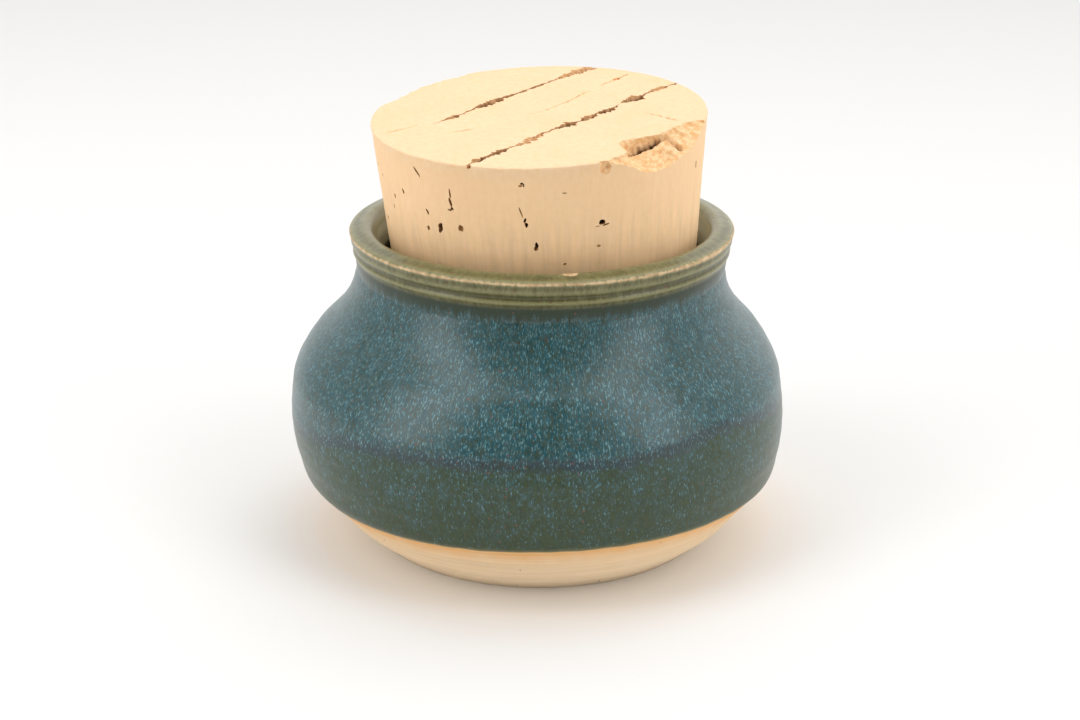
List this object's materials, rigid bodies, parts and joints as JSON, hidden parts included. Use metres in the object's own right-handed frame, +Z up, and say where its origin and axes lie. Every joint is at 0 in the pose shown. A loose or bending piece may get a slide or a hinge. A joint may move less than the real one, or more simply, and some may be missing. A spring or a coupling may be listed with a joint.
{
  "type": "corked ceramic jar",
  "caption": "Small hand-thrown stoneware jar with a squat glazed belly, bare clay foot and rolled rim, shut by a wide tapered cork stopper.",
  "frame": {"origin": "middle of the jar's base, on the surface that it stands on", "axes": "+Z up through the mouth, the front with the cork's broken edge towards -Y, +X to the right of the front"},
  "size_m": [0.091, 0.0908, 0.0804],
  "materials": {
    "glazed_stoneware": "glossy mottled blue-green glaze over a buff clay body, bare at the foot",
    "natural_cork": "sanded natural cork with pores and two long cracks"
  },
  "bodies": {
    "root": {"jar": "glazed_stoneware", "cork": "natural_cork"}
  },
  "joints": []
}
